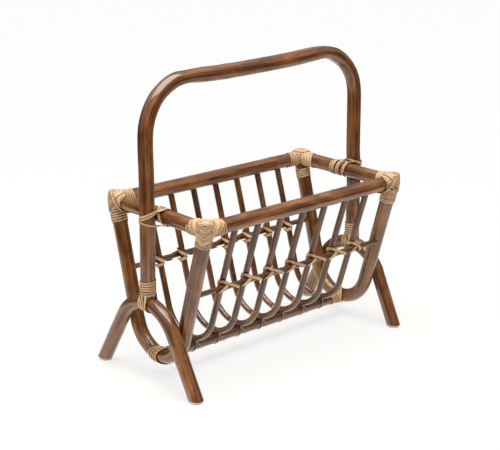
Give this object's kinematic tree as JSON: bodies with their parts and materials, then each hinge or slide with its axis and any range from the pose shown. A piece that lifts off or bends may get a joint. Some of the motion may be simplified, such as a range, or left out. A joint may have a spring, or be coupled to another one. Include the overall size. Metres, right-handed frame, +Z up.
{
  "type": "magazine basket",
  "caption": "Open rattan magazine rack: a round-pole rim on U-shaped end hoops, bent ribs over a keel, arched legs, a tall bent carrying handle, and joints bound with peel strips.",
  "frame": {"origin": "on the floor, under the middle of the rack", "axes": "+X along the rack's long rails, towards its right end as pictured; -Y towards the front long rail; +Z up"},
  "size_m": [0.4766, 0.2444, 0.4725],
  "materials": {
    "rattan": "stained dark reddish brown under a clear gloss lacquer",
    "peel": "natural pale rattan peel, satin",
    "glide_plastic": "pale cream moulded plastic, satin",
    "nail_steel": "bright drawn steel"
  },
  "bodies": {
    "root": {"front_rail": "rattan", "back_rail": "rattan", "left_end_rail": "rattan", "left_end_hoop": "rattan", "left_leg_arch": "rattan", "left_handle_dowel": "rattan", "left_front_glide": "glide_plastic", "left_back_glide": "glide_plastic", "right_end_rail": "rattan", "right_end_hoop": "rattan", "right_leg_arch": "rattan", "right_handle_dowel": "rattan", "right_front_glide": "glide_plastic", "right_back_glide": "glide_plastic", "handle_hoop": "rattan", "rib_1": "rattan", "rib_2": "rattan", "rib_3": "rattan", "rib_4": "rattan", "rib_5": "rattan", "rib_6": "rattan", "rib_7": "rattan", "keel_rod": "rattan", "front_stringer": "rattan", "back_stringer": "rattan", "left_front_hoop_pin": "nail_steel", "left_front_rail_pin": "nail_steel", "left_front_arch_pin": "nail_steel", "left_back_hoop_pin": "nail_steel", "left_back_rail_pin": "nail_steel", "left_back_arch_pin": "nail_steel", "left_handle_pin": "nail_steel", "left_keel_pin": "nail_steel", "right_front_hoop_pin": "nail_steel", "right_front_rail_pin": "nail_steel", "right_front_arch_pin": "nail_steel", "right_back_hoop_pin": "nail_steel", "right_back_rail_pin": "nail_steel", "right_back_arch_pin": "nail_steel", "right_handle_pin": "nail_steel", "right_keel_pin": "nail_steel", "left_front_corner_lashing": "peel", "left_back_corner_lashing": "peel", "left_handle_rail_lashing": "peel", "left_handle_foot_lashing": "peel", "left_keel_end_lashing": "peel", "right_front_corner_lashing": "peel", "right_back_corner_lashing": "peel", "right_handle_rail_lashing": "peel", "right_handle_foot_lashing": "peel", "right_keel_end_lashing": "peel", "keel_lashing": "peel", "front_stringer_lashing": "peel", "back_stringer_lashing": "peel"}
  },
  "joints": []
}
